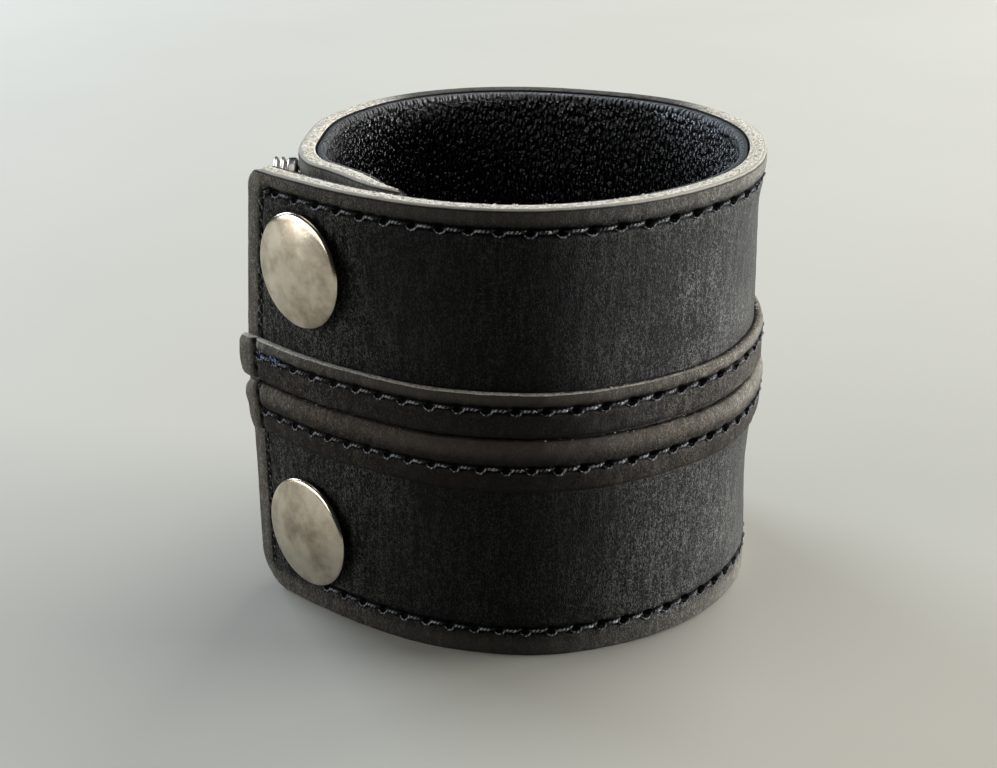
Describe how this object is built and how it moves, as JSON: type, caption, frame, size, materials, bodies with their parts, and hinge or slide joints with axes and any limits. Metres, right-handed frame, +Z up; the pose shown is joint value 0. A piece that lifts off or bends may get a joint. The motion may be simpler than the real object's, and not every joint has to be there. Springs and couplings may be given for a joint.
{
  "type": "cuff bracelet",
  "caption": "Wide leather cuff bracelet with raised stitched strips round its middle, a black lining and domed metal snap caps on an overlapping flap.",
  "frame": {"origin": "middle of the bounding box, on the surface that the cuff stands on", "axes": "+Z up along the wrist's axis, -Y towards the front of the cuff, -X towards the free end of the flap"},
  "size_m": [0.0704, 0.0664, 0.0593],
  "materials": {
    "band_leather": "dark charcoal oiled leather with pale raw edges",
    "lining_leather": "black pebbled leather",
    "strip_leather": "dark charcoal leather, brown where it is burnished",
    "snap_metal": "satin nickel plate",
    "stud_metal": "bright nickel plate"
  },
  "bodies": {
    "root": {"outer_band": "band_leather", "lining": "lining_leather", "upper_strip": "strip_leather", "lower_strip": "strip_leather", "snap_cap_upper": "snap_metal", "snap_socket_upper": "stud_metal", "snap_stud_upper": "stud_metal", "spare_stud_upper": "stud_metal", "snap_cap_lower": "snap_metal", "snap_socket_lower": "stud_metal", "snap_stud_lower": "stud_metal", "spare_stud_lower": "stud_metal"}
  },
  "joints": []
}
